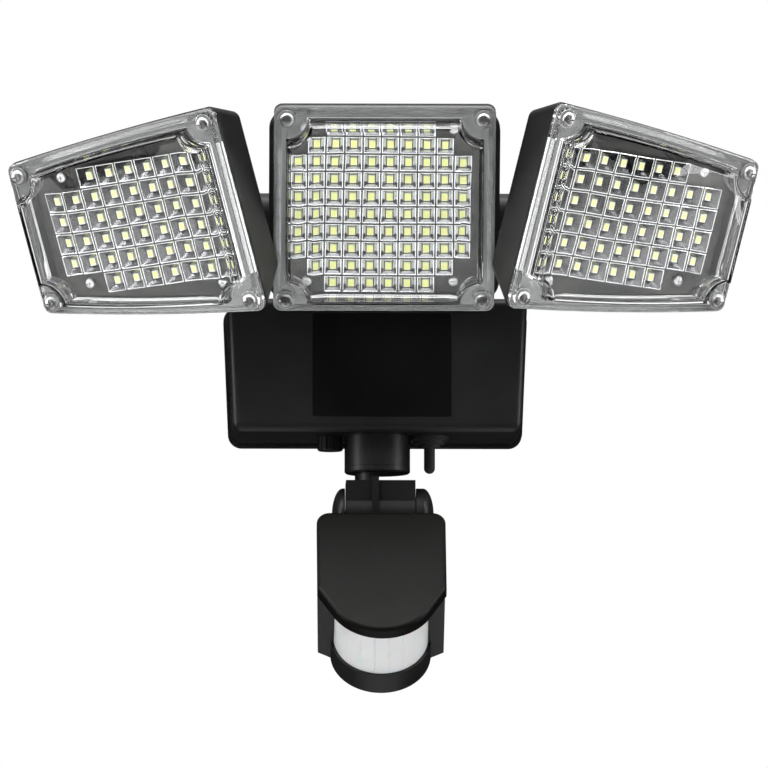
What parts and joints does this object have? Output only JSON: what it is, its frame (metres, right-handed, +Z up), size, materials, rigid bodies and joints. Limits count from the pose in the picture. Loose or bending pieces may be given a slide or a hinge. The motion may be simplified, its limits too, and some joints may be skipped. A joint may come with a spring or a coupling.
{
  "type": "motion sensor security light",
  "caption": "Wall light with adjustable clear-fronted LED heads on a cross arm over a battery case, and a tilting infrared motion sensor on a swivel neck below",
  "frame": {"origin": "middle of the wall bracket's two screw holes, in the wall plane", "axes": "+Z up, -Y the way the light shines (out of the wall), +X to the right of a person who faces the light"},
  "size_m": [0.3129, 0.1352, 0.2408],
  "materials": {
    "black_plastic": "satin, fine grain",
    "label_black": "smooth film",
    "clear_plastic": "clear, polished",
    "silvered": "vacuum silvered",
    "led_phosphor": "yellow phosphor in white",
    "board_black": "solder mask",
    "bright_steel": "nickel plated",
    "bracket_steel": "powder coated",
    "black_rubber": "matte",
    "milky_lens": "translucent",
    "cell_wrap": "shrink wrap",
    "board_green": "solder mask",
    "grey_plastic": "satin"
  },
  "bodies": {
    "base": {"wall_bracket": "bracket_steel", "back_case": "black_plastic", "front_case": "black_plastic", "case_seal": "black_rubber", "case_screws": "bright_steel", "label_panel": "label_black", "battery_cells": "cell_wrap", "battery_holder": "black_plastic", "control_board": "board_green", "control_screws": "bright_steel", "charge_jack": "black_plastic", "switch_body": "bright_steel", "switch_boot": "black_rubber", "sensor_socket": "black_plastic", "neck_ring": "black_plastic", "head_post": "black_plastic", "post_screws": "bright_steel", "cross_arm": "black_plastic"},
    "jack_cap_body": {"jack_cap": "black_plastic"},
    "switch_lever_body": {"switch_lever": "black_rubber"},
    "sensor_knuckle": {"sensor_swivel": "black_plastic"},
    "sensor_head": {"sensor_body": "black_plastic", "sensor_hood": "black_plastic", "sensor_lens": "milky_lens", "sensor_board": "board_green", "sensor_pin": "bright_steel"},
    "time_dial_body": {"time_dial": "grey_plastic"},
    "dusk_dial_body": {"dusk_dial": "grey_plastic"},
    "centre_head": {"centre_shell": "black_plastic", "centre_seal": "black_rubber", "centre_cover": "clear_plastic", "centre_cover_screws": "bright_steel", "centre_board": "board_black", "centre_board_screws": "bright_steel", "centre_leds": "led_phosphor", "centre_reflector": "silvered"},
    "left_knuckle_body": {"left_knuckle": "black_plastic"},
    "left_head": {"left_shell": "black_plastic", "left_seal": "black_rubber", "left_cover": "clear_plastic", "left_cover_screws": "bright_steel", "left_board": "board_black", "left_board_screws": "bright_steel", "left_leds": "led_phosphor", "left_reflector": "silvered", "left_tilt_pin": "bright_steel"},
    "right_knuckle_body": {"right_knuckle": "black_plastic"},
    "right_head": {"right_shell": "black_plastic", "right_seal": "black_rubber", "right_cover": "clear_plastic", "right_cover_screws": "bright_steel", "right_board": "board_black", "right_board_screws": "bright_steel", "right_leds": "led_phosphor", "right_reflector": "silvered", "right_tilt_pin": "bright_steel"}
  },
  "joints": [
    {"name": "centre_tilt", "type": "hinge", "parent": "base", "child": "centre_head", "pos_m": [0.0025, -0.042, 0.066], "axis": [1, 0, 0], "range_deg": [-12, 3]},
    {"name": "left_swivel", "type": "hinge", "parent": "base", "child": "left_knuckle_body", "pos_m": [-0.0752, -0.042, 0.066], "axis": [-0.0802, 0, 0.9968], "range_deg": [-35, 0]},
    {"name": "left_tilt", "type": "hinge", "parent": "left_knuckle_body", "child": "left_head", "pos_m": [-0.08517, -0.05932, 0.0652], "axis": [0.8632, -0.5, 0.0695], "range_deg": [-35, 4]},
    {"name": "right_swivel", "type": "hinge", "parent": "base", "child": "right_knuckle_body", "pos_m": [0.0802, -0.042, 0.066], "axis": [0.0802, 0, 0.9968], "range_deg": [0, 35]},
    {"name": "right_tilt", "type": "hinge", "parent": "right_knuckle_body", "child": "right_head", "pos_m": [0.09017, -0.05932, 0.0652], "axis": [0.8632, 0.5, -0.0695], "range_deg": [-35, 4]},
    {"name": "sensor_pan", "type": "hinge", "parent": "base", "child": "sensor_knuckle", "pos_m": [0.0004, -0.0395, -0.044], "axis": [0, 0, 1], "range_deg": [-90, 90]},
    {"name": "sensor_tilt", "type": "hinge", "parent": "sensor_knuckle", "child": "sensor_head", "pos_m": [0.0017, -0.0395, -0.0613], "axis": [1, 0, 0], "range_deg": [-34, 30]},
    {"name": "jack_cap_pull", "type": "slide", "parent": "base", "child": "jack_cap_body", "axis": [0, 0, -1], "range_m": [0, 0.011]},
    {"name": "switch_rock", "type": "hinge", "parent": "base", "child": "switch_lever_body", "pos_m": [0.0222, -0.0395, -0.0296], "axis": [0, 1, 0], "range_deg": [-12, 12]},
    {"name": "time_dial_turn", "type": "hinge", "parent": "sensor_head", "child": "time_dial_body", "pos_m": [-0.0083, -0.03002, -0.10354], "axis": [0, -0.809, 0.5878], "range_deg": [-135, 135]},
    {"name": "dusk_dial_turn", "type": "hinge", "parent": "sensor_head", "child": "dusk_dial_body", "pos_m": [0.0117, -0.03002, -0.10354], "axis": [0, -0.809, 0.5878], "range_deg": [-135, 135]}
  ]
}
